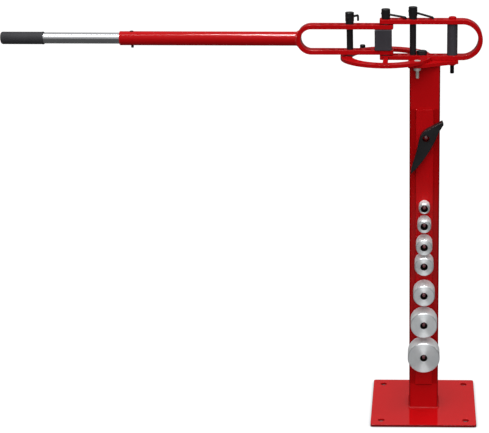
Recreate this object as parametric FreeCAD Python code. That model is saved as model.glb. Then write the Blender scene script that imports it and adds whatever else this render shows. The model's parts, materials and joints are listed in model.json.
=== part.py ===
import FreeCAD, Part
import math
import os

os.makedirs("parts", exist_ok=True)

# Frame: millimetres, +Z up, +X to the right, -Y towards the viewer.
# Origin: on the floor, on the axis of the square post.

X_AXIS = FreeCAD.Vector(1, 0, 0)
Y_AXIS = FreeCAD.Vector(0, 1, 0)
Z_AXIS = FreeCAD.Vector(0, 0, 1)

# Base plate
base_side = 254.0
base_thickness = 6.0
base_corner_radius = 6.0
base_hole_spacing = 203.0
base_hole_diameter = 15.5

# Post and the plate on top of it
post_side = 70.0
post_wall = 3.0
post_corner_radius = 5.0
post_height = 855.0
foot_weld_leg = 4.0
foot_weld_land = 0.4
top_plate_thickness = 8.0
top_plate_margin = 3.0
spacer_edge_distance = 14.0
ring_bolt_edge_distance = 8.2
top_plate_taper_reach = 5.0
top_plate_nose_width = 36.0

# Raised strip on the post's front, which carries the storage pegs
strip_width = 40.0
strip_thickness = 5.0
strip_bottom_z = 72.0
strip_top_drop = 101.5

# Flat bar that both U frames are bent from
bar_width = 30.0
bar_thickness = 10.0
bar_edge_chamfer = 0.8
bar_end_radius = 4.0

# Hole stations along the bars
head_offset = 7.0
station_pitch = 20.5
station_count = 7
pin_diameter = 15.0
pin_running_clearance = 0.08
frame_end_margin = 14.0
fork_end_margin = 17.0

# U frames: the fork nests inside the fixed frame
fork_gap = 48.0
swing_clearance = 2.0
washer_play = 0.1
washer_diameter = 30.0
washer_bore_clearance = 0.5
spacer_reach = 28.0
frame_bend_reach = 23.0
fork_bend_reach = 26.0

# Guide ring around the pivot
ring_outer_radius = 104.0
ring_inner_radius = 79.0
ring_thickness = 8.0
ring_spoke_width = 11.0
ring_hole_pitch_deg = 13.0
ring_hole_steps = 6
stop_pin_step = 4
stop_pin_diameter = 8.0
stop_head_diameter = 12.6
stop_head_height = 10.0
ring_bolt_angle_deg = 38.0
ring_bolt_diameter = 8.0
ring_bolt_tail = 24.0
ring_bolt_head_diameter = 15.0
ring_nut_flats = 14.2
ring_nut_height = 7.0
ring_nut_flange_diameter = 17.0
ring_nut_flange_height = 1.5

# Spacer between the fixed frame's arms, and the bolts through them
spacer_diameter = 24.0
spacer_bolt_diameter = 10.0
spacer_hole_clearance = 0.5
spacer_head_flats = 15.0
spacer_head_height = 5.6
spacer_nut_height = 6.0
spacer_bolt_tail = 19.0
frame_bolt_diameter = 14.0
frame_bolt_flats = 21.0
frame_bolt_head_height = 9.5
frame_bolt_tail = 6.0
frame_bolt_step = 4
hex_chamfer = 0.8

# Lift-out pins and the hooked rods through their heads
pin_head_diameter = 20.0
pin_head_height = 21.0
pin_tip_chamfer = 1.5
small_chamfer = 0.75
pin_tip_gap = 1.0
pin_collar_diameter = 18.4
frame_pin_step = 3
fork_pin_step = 4
pivot_collar_height = 1.7
frame_collar_height = 6.5
fork_collar_height = 6.0
rod_diameter = 5.0
rod_tail = 1.0
fork_rod_tail = 4.0
rod_bend_radius = 4.0
rod_level_share = 0.45
rod_rest_gap = 0.6
rod_reach_steps = 2
rod_tip_gap = 0.5
rod_tip_length = 6.0
fork_rod_angle_deg = 68.0
fork_rod_drop = 3.0
fork_rod_tip_length = 13.0

# Square spin block on the pivot pin, bored off centre
block_side = 38.5
block_bore_offset = 6.0
block_play = 0.3
block_chamfer = 1.2

# Handle: outer tube, sliding inner tube, grip and locking pin
handle_tube_diameter = 32.0
handle_tube_wall = 3.0
handle_tube_length = 436.5
handle_slide_clearance = 0.5
inner_tube_wall = 2.0
inner_tube_overlap = 167.0
inner_tube_showing = 268.0
handle_travel = 100.0
grip_length = 98.0
grip_wall = 2.0
grip_end_wall = 4.0
grip_end_radius = 3.5
lock_pin_inset = 27.0
lock_pin_diameter = 6.0
lock_pin_head_diameter = 8.5
lock_pin_head_height = 2.4
lock_pin_head_sink = 1.2
lock_pin_tail = 5.6
lock_slot_clearance = 0.6

# Round dies on their pegs: diameter, free space below and thickness, from the strip's bottom up
die_sizes = [(76.2, 51.7, 46.0), (63.5, 13.7, 46.0), (50.8, 17.9, 46.0), (44.45, 25.6, 46.0),
             (38.1, 6.4, 46.0), (31.75, 14.8, 40.0), (25.4, 11.6, 30.0)]
die_names = ["die_76", "die_64", "die_51", "die_44", "die_38", "die_32", "die_25"]
die_bore = 16.0
die_edge_chamfer = 1.6
die_bore_chamfer = 1.0
die_seat_gap = 0.3
peg_diameter = 7.0
peg_proud = 7.0
peg_tip_chamfer = 1.0
hang_gap = 0.3

# Wedge blade on its own peg: corners around its bore in X and Z, each with the middle of the arc to it
wedge_bore_drop = 63.5
wedge_bore_x = 3.1
wedge_thickness = 20.0
wedge_edge_chamfer = 1.0
wedge_outline = [((40.0, 32.3), None), ((29.5, 15.5), None), ((-34.6, -84.5), (2.8, -38.0)),
                 ((-34.0, -74.0), None), ((-15.1, -1.0), (-23.0, -37.0)), ((1.8, 20.4), (-9.4, 10.6)),
                 ((37.2, 39.5), None)]

# Largest size, in mm, that counts as flat when edges are picked
flat_tolerance = 0.001

# Heights and stations that follow from the sizes above
pivot_x = -head_offset - frame_bolt_step * station_pitch
spacer_x = pivot_x + (station_count - 1) * station_pitch + spacer_reach
frame_bend_x = spacer_x + frame_bend_reach
fork_bend_x = pivot_x - station_count * station_pitch - fork_bend_reach
handle_tube_end_x = fork_bend_x - handle_tube_length
lock_pin_x = handle_tube_end_x + lock_pin_inset
inner_tube_start_x = handle_tube_end_x + inner_tube_overlap
inner_tube_end_x = handle_tube_end_x - inner_tube_showing
grip_end_x = inner_tube_end_x - grip_end_wall
post_top_z = base_thickness + post_height
frame_bottom_z = post_top_z + top_plate_thickness
fork_height = fork_gap + 2 * bar_thickness
frame_height = fork_height + 2 * swing_clearance + 2 * bar_thickness
fork_bottom_z = frame_bottom_z + bar_thickness + swing_clearance
fork_top_z = fork_bottom_z + fork_height
frame_top_z = frame_bottom_z + frame_height
head_axis_z = frame_bottom_z + frame_height / 2
lower_arm_top_z = frame_bottom_z + bar_thickness
upper_arm_bottom_z = frame_top_z - bar_thickness
pin_hole_radius = pin_diameter / 2 + pin_running_clearance
rod_reach = rod_reach_steps * station_pitch + pin_hole_radius - rod_diameter / 2 - rod_tip_gap
strip_front_y = -post_side / 2 - strip_thickness
strip_top_z = post_top_z - strip_top_drop
wedge_bore_z = strip_top_z - wedge_bore_drop
ring_bottom_z = frame_bottom_z
ring_top_z = ring_bottom_z + ring_thickness
ring_hole_circle = (ring_outer_radius + ring_inner_radius) / 2
stop_hole_radius = stop_pin_diameter / 2 + pin_running_clearance
inner_tube_radius = handle_tube_diameter / 2 - handle_tube_wall - handle_slide_clearance
spacer_hole_radius = spacer_bolt_diameter / 2 + spacer_hole_clearance


def frame_station_x(step):
    return pivot_x + step * station_pitch


def fork_station_x(step):
    return pivot_x - step * station_pitch


def box(low, high):
    size = [high[i] - low[i] for i in range(3)]
    return Part.makeBox(size[0], size[1], size[2], FreeCAD.Vector(*low))


def rod_along(axis, radius, start, length):
    return Part.makeCylinder(radius, length, FreeCAD.Vector(*start), axis)


def edges_where(shape, test):
    return [edge for edge in shape.Edges if test(edge)]


def edge_on_plane(edge, axis_index, value):
    bounds = edge.BoundBox
    low = [bounds.XMin, bounds.YMin, bounds.ZMin][axis_index]
    high = [bounds.XMax, bounds.YMax, bounds.ZMax][axis_index]
    return abs(low - value) < flat_tolerance and abs(high - value) < flat_tolerance


def is_vertical(edge):
    bounds = edge.BoundBox
    return bounds.XLength < flat_tolerance and bounds.YLength < flat_tolerance


def is_flat_on(edge):
    return edge.BoundBox.YLength < flat_tolerance


def save(shape, name):
    shape.exportStep("parts/" + name + ".step")


# Base plate with rounded corners and four anchor holes
def make_base_plate():
    half = base_side / 2
    plate = box((-half, -half, 0), (half, half, base_thickness))
    plate = plate.makeFillet(base_corner_radius, edges_where(plate, is_vertical))
    for side_x in (-1, 1):
        for side_y in (-1, 1):
            centre = (side_x * base_hole_spacing / 2, side_y * base_hole_spacing / 2, 0)
            plate = plate.cut(rod_along(Z_AXIS, base_hole_diameter / 2, centre, base_thickness))
    return plate


# Square tube post
def square_column(side, corner_radius, bottom_z, top_z):
    half = side / 2
    column = box((-half, -half, bottom_z), (half, half, top_z))
    return column.makeFillet(corner_radius, edges_where(column, is_vertical))


def make_post():
    outside = square_column(post_side, post_corner_radius, base_thickness, post_top_z)
    inner_side = post_side - 2 * post_wall
    inner_radius = post_corner_radius - post_wall
    return outside.cut(square_column(inner_side, inner_radius, base_thickness, post_top_z))


# Weld bead that runs round the post's foot
def make_foot_weld():
    top = base_thickness + foot_weld_leg
    bead = square_column(post_side + 2 * foot_weld_leg, post_corner_radius + foot_weld_leg,
                         base_thickness, top)
    rim = edges_where(bead, lambda edge: edge_on_plane(edge, 2, top))
    bead = bead.makeChamfer(foot_weld_leg - foot_weld_land, rim)
    return bead.cut(square_column(post_side, post_corner_radius, base_thickness, post_top_z))


# Strip on the post's front
def make_holder_strip():
    return box((-strip_width / 2, strip_front_y, strip_bottom_z),
               (strip_width / 2, -post_side / 2, strip_top_z))


# Storage pegs standing out of the strip
def make_peg(centre_x, centre_z, length):
    radius = peg_diameter / 2
    peg = rod_along(-Y_AXIS, radius, (centre_x, strip_front_y, centre_z), length)
    tip = edges_where(peg, lambda edge: edge_on_plane(edge, 1, strip_front_y - length))
    return peg.makeChamfer(peg_tip_chamfer, tip)


def die_bore_heights():
    heights = []
    top_z = strip_bottom_z
    for diameter, space_below, _ in die_sizes:
        centre_z = top_z + space_below + diameter / 2
        heights.append(centre_z)
        top_z = centre_z + diameter / 2
    return heights


def peg_height(bore_z):
    return bore_z + (die_bore - peg_diameter) / 2 - hang_gap


def make_die_pegs():
    pegs = []
    for (_, _, thickness), bore_z in zip(die_sizes, die_bore_heights()):
        pegs.append(make_peg(0, peg_height(bore_z), die_seat_gap + thickness + peg_proud))
    return Part.makeCompound(pegs)


def make_wedge_peg():
    length = die_seat_gap + wedge_thickness + peg_proud
    return make_peg(wedge_bore_x, peg_height(wedge_bore_z), length)


# Plate welded on the post's top, narrowing towards the spacer
def make_top_plate():
    left = -post_side / 2 - top_plate_margin
    right = spacer_x + spacer_edge_distance
    ring_bolt_x, ring_bolt_y, _ = ring_point(ring_bolt_angle_deg, post_top_z)
    half = ring_bolt_y + ring_bolt_edge_distance
    taper_x = ring_bolt_x + top_plate_taper_reach
    nose = top_plate_nose_width / 2
    outline = [(left, -half), (taper_x, -half), (right, -nose),
               (right, nose), (taper_x, half), (left, half)]
    corners = [FreeCAD.Vector(x, y, post_top_z) for x, y in outline + outline[:1]]
    plate = Part.Face(Part.makePolygon(corners)).extrude(Z_AXIS * top_plate_thickness)
    plate = plate.makeFillet(bar_end_radius, edges_where(plate, is_vertical))
    bolt_x = frame_station_x(frame_bolt_step)
    for hole_x, radius in ((bolt_x, frame_bolt_diameter / 2), (spacer_x, spacer_hole_radius)):
        plate = plate.cut(rod_along(Z_AXIS, radius, (hole_x, 0, post_top_z), top_plate_thickness))
    for bolt in ring_bolt_solids():
        plate = plate.cut(bolt)
    return plate


# Long flat prism with one round end, seen along Y
def stadium(open_x, bend_x, height, width):
    radius = height / 2
    low_x = min(open_x, bend_x)
    high_x = max(open_x, bend_x)
    body = box((low_x, -width / 2, head_axis_z - radius), (high_x, width / 2, head_axis_z + radius))
    round_end = rod_along(Y_AXIS, radius, (bend_x, -width / 2, head_axis_z), width)
    return body.fuse(round_end).removeSplitter()


# Flat bar bent into a U that lies on its side
def make_u_bar(open_x, bend_x, height):
    solid = stadium(open_x, bend_x, height, bar_width)
    bar = solid.cut(stadium(open_x, bend_x, height - 2 * bar_thickness, bar_width)).removeSplitter()

    def on_open_end(edge):
        return edge_on_plane(edge, 0, open_x) and edge.BoundBox.YLength < flat_tolerance
    bar = bar.makeFillet(bar_end_radius, edges_where(bar, on_open_end))

    def on_long_side(edge):
        return edge_on_plane(edge, 1, -bar_width / 2) or edge_on_plane(edge, 1, bar_width / 2)
    long_edges = [edge for edge in edges_where(bar, on_long_side) if not is_vertical(edge)]
    return bar.makeChamfer(bar_edge_chamfer, long_edges)


def cut_through_head(shape, centre_x, radius):
    return shape.cut(rod_along(Z_AXIS, radius, (centre_x, 0, frame_bottom_z), frame_height))


def make_frame_bar():
    bar = make_u_bar(pivot_x - frame_end_margin, frame_bend_x, frame_height)
    for step in range(station_count):
        if step != frame_bolt_step:
            bar = cut_through_head(bar, frame_station_x(step), pin_hole_radius)
    bolt_x = frame_station_x(frame_bolt_step)
    bar = bar.cut(rod_along(Z_AXIS, frame_bolt_diameter / 2, (bolt_x, 0, frame_bottom_z), bar_thickness))
    bar = bar.cut(rod_along(Z_AXIS, pin_hole_radius, (bolt_x, 0, upper_arm_bottom_z), bar_thickness))
    return cut_through_head(bar, spacer_x, spacer_hole_radius)


def make_fork_bar():
    bar = make_u_bar(pivot_x + fork_end_margin, fork_bend_x, fork_height)
    for step in range(station_count + 1):
        bar = cut_through_head(bar, fork_station_x(step), pin_hole_radius)
    return bar


# Flat ring around the pivot, carried by the lower arm and two spokes
def ring_point(angle_deg, z):
    angle = math.radians(angle_deg)
    return (pivot_x + ring_hole_circle * math.cos(angle), ring_hole_circle * math.sin(angle), z)


def make_guide_ring():
    centre = (pivot_x, 0, ring_bottom_z)
    disc = rod_along(Z_AXIS, ring_outer_radius, centre, ring_thickness)
    opening = rod_along(Z_AXIS, ring_inner_radius, centre, ring_thickness)
    half = ring_spoke_width / 2
    spokes = box((pivot_x - half, -ring_inner_radius, ring_bottom_z),
                 (pivot_x + half, ring_inner_radius, ring_top_z))
    arm = box((pivot_x - half, -bar_width / 2, ring_bottom_z), (frame_bend_x, bar_width / 2, ring_top_z))
    ring = disc.cut(opening.cut(spokes)).cut(arm)
    for step in range(-ring_hole_steps, ring_hole_steps + 1):
        hole = ring_point(180.0 - step * ring_hole_pitch_deg, ring_bottom_z)
        ring = ring.cut(rod_along(Z_AXIS, stop_hole_radius, hole, ring_thickness))
    for bolt in ring_bolt_solids():
        ring = ring.cut(bolt)
    return ring


# Hexagonal nuts and bolt heads
def hexagon(flats, centre, height, chamfer_top):
    corner = flats / math.sqrt(3.0)
    points = []
    for step in range(7):
        angle = math.radians(60 * step)
        points.append(FreeCAD.Vector(centre[0] + corner * math.cos(angle),
                                     centre[1] + corner * math.sin(angle), centre[2]))
    prism = Part.Face(Part.makePolygon(points)).extrude(FreeCAD.Vector(0, 0, height))
    base = FreeCAD.Vector(*centre)
    rise = corner - flats / 2
    straight = height - rise
    if chamfer_top:
        envelope = Part.makeCylinder(corner + hex_chamfer, straight, base)
        cap = Part.makeCone(corner, flats / 2 - hex_chamfer, rise, base + FreeCAD.Vector(0, 0, straight))
    else:
        envelope = Part.makeCylinder(corner + hex_chamfer, straight, base + FreeCAD.Vector(0, 0, rise))
        cap = Part.makeCone(flats / 2 - hex_chamfer, corner, rise, base)
    return prism.common(envelope.fuse(cap)).removeSplitter()


# Bolts through the guide ring and the top plate, heads sunk flush with the ring's top
def ring_bolt_solids():
    bolts = []
    sink = (ring_bolt_head_diameter - ring_bolt_diameter) / 2
    for side in (-1, 1):
        x, y, top = ring_point(side * ring_bolt_angle_deg, ring_top_z)
        length = ring_thickness + top_plate_thickness + ring_bolt_tail
        shank = rod_along(Z_AXIS, ring_bolt_diameter / 2, (x, y, top - length), length)
        head = Part.makeCone(ring_bolt_diameter / 2, ring_bolt_head_diameter / 2, sink,
                             FreeCAD.Vector(x, y, top - sink))
        bolts.append(shank.fuse(head))
    return bolts


def make_ring_nuts():
    nuts = []
    for side in (-1, 1):
        base = ring_point(side * ring_bolt_angle_deg, post_top_z - ring_nut_height)
        nut = hexagon(ring_nut_flats, base, ring_nut_height, False)
        flange_z = post_top_z - ring_nut_flange_height
        flange = rod_along(Z_AXIS, ring_nut_flange_diameter / 2, (base[0], base[1], flange_z),
                           ring_nut_flange_height)
        nut = nut.fuse(flange).removeSplitter()
        nuts.append(nut.cut(rod_along(Z_AXIS, ring_bolt_diameter / 2, base, ring_nut_height)))
    return Part.makeCompound(nuts)


# Washers above and below the fork at the pivot
def make_pivot_washers():
    thickness = swing_clearance - washer_play
    bore = pin_diameter / 2 + washer_bore_clearance
    washers = []
    for bottom in (lower_arm_top_z, upper_arm_bottom_z - thickness):
        washer = rod_along(Z_AXIS, washer_diameter / 2, (pivot_x, 0, bottom), thickness)
        washers.append(washer.cut(rod_along(Z_AXIS, bore, (pivot_x, 0, bottom), thickness)))
    return Part.makeCompound(washers)


# Spacer tube with its bolt and nut
def make_spacer_tube():
    length = upper_arm_bottom_z - lower_arm_top_z
    base = (spacer_x, 0, lower_arm_top_z)
    tube = rod_along(Z_AXIS, spacer_diameter / 2, base, length)
    return tube.cut(rod_along(Z_AXIS, spacer_hole_radius, base, length))


def make_spacer_bolt():
    tip_z = post_top_z - spacer_nut_height - spacer_bolt_tail
    shank = rod_along(Z_AXIS, spacer_bolt_diameter / 2, (spacer_x, 0, tip_z), frame_top_z - tip_z)
    tip = edges_where(shank, lambda edge: edge_on_plane(edge, 2, tip_z))
    shank = shank.makeChamfer(small_chamfer, tip)
    head = hexagon(spacer_head_flats, (spacer_x, 0, frame_top_z), spacer_head_height, True)
    return shank.fuse(head).removeSplitter()


def make_spacer_nut():
    base = (spacer_x, 0, post_top_z - spacer_nut_height)
    nut = hexagon(spacer_head_flats, base, spacer_nut_height, False)
    return nut.cut(rod_along(Z_AXIS, spacer_bolt_diameter / 2, base, spacer_nut_height))


# Bolt that clamps the lower arm to the plate
def make_frame_bolt():
    x = frame_station_x(frame_bolt_step)
    tip_z = post_top_z - frame_bolt_tail
    shank = rod_along(Z_AXIS, frame_bolt_diameter / 2, (x, 0, tip_z), lower_arm_top_z - tip_z)
    head = hexagon(frame_bolt_flats, (x, 0, lower_arm_top_z), frame_bolt_head_height, True)
    return shank.fuse(head).removeSplitter()


# Lift-out pin: chamfered head, seating collar and plain shank
def make_pin_body(x, seat_z, tip_z, collar_height):
    shank = rod_along(Z_AXIS, pin_diameter / 2, (x, 0, tip_z), seat_z - tip_z)
    shank = shank.makeChamfer(pin_tip_chamfer, edges_where(shank, lambda e: edge_on_plane(e, 2, tip_z)))
    collar = rod_along(Z_AXIS, pin_collar_diameter / 2, (x, 0, seat_z), collar_height)
    head_z = seat_z + collar_height
    head = rod_along(Z_AXIS, pin_head_diameter / 2, (x, 0, head_z), pin_head_height)

    def on_rim(edge):
        return edge_on_plane(edge, 2, head_z) or edge_on_plane(edge, 2, head_z + pin_head_height)
    head = head.makeChamfer(small_chamfer, edges_where(head, on_rim))
    return shank.fuse(collar).fuse(head).removeSplitter()


def rod_centre_z(seat_z, collar_height):
    return seat_z + collar_height + pin_head_height * rod_level_share


# Hooked rod: tail behind the head, straight run, round bend, short turned-down tip
def bent_rod(tail, elbow, tip):
    run = elbow - tail
    drop = tip - elbow
    run.normalize()
    drop.normalize()
    turn = run.getAngle(drop)
    inset = rod_bend_radius * math.tan(turn / 2)
    inward = drop - run
    inward.normalize()
    bend_start = elbow - run * inset
    bend_end = elbow + drop * inset
    bend_centre = elbow + inward * (rod_bend_radius / math.cos(turn / 2))
    bend_middle = bend_centre - inward * rod_bend_radius
    path = Part.Wire([Part.LineSegment(tail, bend_start).toShape(),
                      Part.Arc(bend_start, bend_middle, bend_end).toShape(),
                      Part.LineSegment(bend_end, tip).toShape()])
    section = Part.Wire(Part.makeCircle(rod_diameter / 2, tail, run))
    return path.makePipeShell([section], True, False)


def make_hook(x, start_z, tail_length, angle_deg, elbow_z, tip_length):
    angle = math.radians(angle_deg)
    heading = FreeCAD.Vector(math.cos(angle), math.sin(angle), 0)
    centre = FreeCAD.Vector(x, 0, start_z)
    elbow = FreeCAD.Vector(x, 0, elbow_z) + heading * rod_reach
    run = elbow - centre
    run.normalize()
    tail = centre - run * (pin_head_diameter / 2 + tail_length)
    return bent_rod(tail, elbow, elbow - Z_AXIS * tip_length)


def make_pin_pair(x, seat_z, tip_z, collar_height, tail_length, angle_deg, elbow_z, tip_length):
    start_z = rod_centre_z(seat_z, collar_height)
    hook = make_hook(x, start_z, tail_length, angle_deg, elbow_z, tip_length)
    body = make_pin_body(x, seat_z, tip_z, collar_height).cut(hook)
    return body, hook


# Square block bored off centre, spinning on the pivot pin
def make_spin_block():
    half = block_side / 2
    centre_x = pivot_x - block_bore_offset
    bottom = fork_bottom_z + bar_thickness + block_play
    top = fork_top_z - bar_thickness - block_play
    block = box((centre_x - half, -half, bottom), (centre_x + half, half, top))
    block = block.makeChamfer(block_chamfer, block.Edges)
    return block.cut(rod_along(Z_AXIS, pin_hole_radius, (pivot_x, 0, bottom), top - bottom))


# Stop pin standing in one of the ring's holes
def make_stop_pin():
    x, y, bottom = ring_point(180.0 - stop_pin_step * ring_hole_pitch_deg, ring_bottom_z)
    shank = rod_along(Z_AXIS, stop_pin_diameter / 2, (x, y, bottom), ring_thickness)
    head = rod_along(Z_AXIS, stop_head_diameter / 2, (x, y, ring_top_z), stop_head_height)
    rim = edges_where(head, lambda edge: edge_on_plane(edge, 2, ring_top_z + stop_head_height))
    head = head.makeChamfer(small_chamfer, rim)
    return shank.fuse(head).removeSplitter()


# Locking pin across the outer handle tube
def make_lock_pin():
    top_z = head_axis_z + handle_tube_diameter / 2
    bottom_z = head_axis_z - handle_tube_diameter / 2 - lock_pin_tail
    shank = rod_along(Z_AXIS, lock_pin_diameter / 2, (lock_pin_x, 0, bottom_z), top_z - bottom_z)
    tip = edges_where(shank, lambda edge: edge_on_plane(edge, 2, bottom_z))
    shank = shank.makeChamfer(small_chamfer, tip)
    seat_z = top_z - lock_pin_head_sink
    head = rod_along(Z_AXIS, lock_pin_head_diameter / 2, (lock_pin_x, 0, seat_z), lock_pin_head_height)
    rim = edges_where(head, lambda edge: edge_on_plane(edge, 2, seat_z + lock_pin_head_height))
    return shank.fuse(head.makeChamfer(small_chamfer, rim)).removeSplitter()


# Outer handle tube, coped against the fork's bend
def make_handle_tube():
    radius = handle_tube_diameter / 2
    start = (handle_tube_end_x, 0, head_axis_z)
    length = fork_bend_x - handle_tube_end_x
    tube = rod_along(X_AXIS, radius, start, length)
    tube = tube.cut(rod_along(X_AXIS, radius - handle_tube_wall, start, length))
    tube = tube.cut(stadium(pivot_x, fork_bend_x, fork_height, 2 * handle_tube_diameter))
    return tube.cut(make_lock_pin())


# Inner tube with the slot that the locking pin passes through
def make_inner_tube():
    start = (inner_tube_end_x, 0, head_axis_z)
    length = inner_tube_start_x - inner_tube_end_x
    tube = rod_along(X_AXIS, inner_tube_radius, start, length)
    tube = tube.cut(rod_along(X_AXIS, inner_tube_radius - inner_tube_wall, start, length))
    half = lock_pin_diameter / 2 + lock_slot_clearance
    bottom_z = head_axis_z - inner_tube_radius
    slot = box((lock_pin_x, -half, bottom_z),
               (lock_pin_x + handle_travel, half, head_axis_z + inner_tube_radius))
    for end_x in (lock_pin_x, lock_pin_x + handle_travel):
        slot = slot.fuse(rod_along(Z_AXIS, half, (end_x, 0, bottom_z), 2 * inner_tube_radius))
    return tube.cut(slot)


# Rubber grip with a closed, rounded end
def make_hand_grip():
    radius = inner_tube_radius + grip_wall
    grip = rod_along(X_AXIS, radius, (grip_end_x, 0, head_axis_z), grip_length)
    outer = edges_where(grip, lambda edge: edge_on_plane(edge, 0, grip_end_x))
    grip = grip.makeFillet(grip_end_radius, outer)
    inner = edges_where(grip, lambda edge: edge_on_plane(edge, 0, grip_end_x + grip_length))
    grip = grip.makeFillet(grip_wall / 2, inner)
    start = (inner_tube_end_x, 0, head_axis_z)
    return grip.cut(rod_along(X_AXIS, inner_tube_radius, start, grip_length - grip_end_wall))


# Round die: plain disc with chamfered edges and bore
def make_die(diameter, thickness, bore_z):
    back_y = strip_front_y - die_seat_gap
    radius = diameter / 2
    disc = rod_along(-Y_AXIS, radius, (0, back_y, bore_z), thickness)
    disc = disc.makeChamfer(die_edge_chamfer, edges_where(disc, is_flat_on))
    disc = disc.cut(rod_along(-Y_AXIS, die_bore / 2, (0, back_y, bore_z), thickness))

    def on_bore(edge):
        return is_flat_on(edge) and abs(edge.BoundBox.XLength - die_bore) < flat_tolerance
    return disc.makeChamfer(die_bore_chamfer, edges_where(disc, on_bore))


# Pointed wedge blade with a bore near its elbow
def wedge_face(back_y):
    def at(pair):
        return FreeCAD.Vector(wedge_bore_x + pair[0], back_y, wedge_bore_z + pair[1])
    edges = []
    start = at(wedge_outline[-1][0])
    for corner, middle in wedge_outline:
        end = at(corner)
        curve = Part.Arc(start, at(middle), end) if middle else Part.LineSegment(start, end)
        edges.append(curve.toShape())
        start = end
    return Part.Face(Part.Wire(edges))


def make_wedge():
    back_y = strip_front_y - die_seat_gap
    blade = wedge_face(back_y).extrude(FreeCAD.Vector(0, -wedge_thickness, 0))
    front = edges_where(blade, lambda edge: edge_on_plane(edge, 1, back_y - wedge_thickness))
    blade = blade.makeChamfer(wedge_edge_chamfer, front)
    bore = rod_along(-Y_AXIS, die_bore / 2, (wedge_bore_x, back_y, wedge_bore_z), wedge_thickness)
    return blade.cut(bore)


def save_stand():
    save(make_base_plate(), "base_plate")
    save(make_post(), "post_tube")
    save(make_foot_weld(), "foot_weld")
    save(make_holder_strip(), "holder_strip")
    save(make_die_pegs(), "die_pegs")
    save(make_wedge_peg(), "wedge_peg")
    save(make_top_plate(), "top_plate")


def save_head():
    save(make_frame_bar(), "frame_bar")
    save(make_guide_ring(), "guide_ring")
    save(Part.makeCompound(ring_bolt_solids()), "ring_bolts")
    save(make_ring_nuts(), "ring_nuts")
    save(make_pivot_washers(), "pivot_washers")
    save(make_spacer_tube(), "spacer_tube")
    save(make_spacer_bolt(), "spacer_bolt")
    save(make_spacer_nut(), "spacer_nut")
    save(make_frame_bolt(), "frame_bolt")
    save(make_spin_block(), "spin_block")
    save(make_stop_pin(), "stop_pin")


def save_pins():
    rest_z = frame_top_z + rod_diameter / 2 + rod_rest_gap
    frame_tip_z = frame_bottom_z + pin_tip_gap
    body, hook = make_pin_pair(pivot_x, frame_top_z, frame_tip_z, pivot_collar_height,
                               rod_tail, 0.0, rest_z, rod_tip_length)
    save(body, "pivot_pin")
    save(hook, "pivot_pin_hook")
    body, hook = make_pin_pair(frame_station_x(frame_pin_step), frame_top_z, frame_tip_z,
                               frame_collar_height, rod_tail, 0.0, rest_z, rod_tip_length)
    save(body, "frame_pin")
    save(hook, "frame_pin_hook")
    fork_rod_z = rod_centre_z(fork_top_z, fork_collar_height)
    body, hook = make_pin_pair(fork_station_x(fork_pin_step), fork_top_z, fork_bottom_z + pin_tip_gap,
                               fork_collar_height, fork_rod_tail, fork_rod_angle_deg,
                               fork_rod_z - fork_rod_drop, fork_rod_tip_length)
    save(body, "fork_pin")
    save(hook, "fork_pin_hook")


def save_handle():
    save(make_fork_bar(), "fork_bar")
    save(make_handle_tube(), "handle_tube")
    save(make_lock_pin(), "lock_pin")
    save(make_inner_tube(), "inner_tube")
    save(make_hand_grip(), "hand_grip")


def save_dies():
    for name, (diameter, _, thickness), bore_z in zip(die_names, die_sizes, die_bore_heights()):
        save(make_die(diameter, thickness, bore_z), name)
    save(make_wedge(), "wedge_blade")


save_stand()
save_head()
save_pins()
save_handle()
save_dies()
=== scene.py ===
# %% [markdown]
# # A manual pipe bending machine
# The machine stands on a square plate. Its post carries two U frames of flat bar, a long
# handle with a rubber grip, lift-out pins, and a stack of round dies on pegs. The CAD model
# gives every size and place. This lesson dresses it: edges get the small radius that paint
# and tools leave, welds get their ripples, bolts get threads, and each surface gets the
# finish of the real one.

# %% Load the CAD model
import bmesh
import bpy
import json
import math
from mathutils import Matrix, Vector


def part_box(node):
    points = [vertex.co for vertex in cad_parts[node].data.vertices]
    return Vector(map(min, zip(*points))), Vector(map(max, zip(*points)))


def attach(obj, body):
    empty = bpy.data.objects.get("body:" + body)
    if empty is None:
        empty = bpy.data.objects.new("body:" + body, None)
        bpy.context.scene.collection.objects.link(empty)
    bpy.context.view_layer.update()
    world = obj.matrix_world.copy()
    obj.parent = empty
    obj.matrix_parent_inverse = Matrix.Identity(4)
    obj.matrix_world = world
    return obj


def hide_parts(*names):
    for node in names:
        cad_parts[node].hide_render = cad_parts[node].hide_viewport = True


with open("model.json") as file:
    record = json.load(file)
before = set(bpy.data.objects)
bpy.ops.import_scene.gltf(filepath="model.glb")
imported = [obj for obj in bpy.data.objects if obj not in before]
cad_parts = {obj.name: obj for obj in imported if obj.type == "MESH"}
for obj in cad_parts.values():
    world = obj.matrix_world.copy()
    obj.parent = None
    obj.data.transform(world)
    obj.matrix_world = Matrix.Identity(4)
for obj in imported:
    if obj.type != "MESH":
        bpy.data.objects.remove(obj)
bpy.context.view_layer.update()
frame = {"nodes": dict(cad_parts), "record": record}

# %% [markdown]
# The camera stands in front of the post and well above the pins, and tips down towards the
# base plate. It looks almost straight at the post, and a sideways shift of the lens brings
# the whole handle in, so that the post stays upright near the right edge of the picture.

# %% Camera
picture_width_px = 489
focal_px = 1400.0
camera_place = (-0.0012, -3.1480, 1.5382)
turned_left, tipped_down = math.radians(0.772), math.radians(18.425)
camera_data = bpy.data.cameras.new("camera")
camera_data.sensor_width = 36.0
camera_data.lens = camera_data.sensor_width * focal_px / picture_width_px
camera_data.shift_x = -0.33
camera_data.clip_start, camera_data.clip_end = 0.01, 100.0
camera = bpy.data.objects.new("camera", camera_data)
bpy.context.scene.collection.objects.link(camera)
bpy.context.scene.camera = camera
camera.matrix_world = (Matrix.Translation(camera_place) @ Matrix.Rotation(turned_left, 4, "Z")
                       @ Matrix.Rotation(math.pi / 2 - tipped_down, 4, "X"))
print("lens in mm:", round(camera_data.lens, 2))

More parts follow.
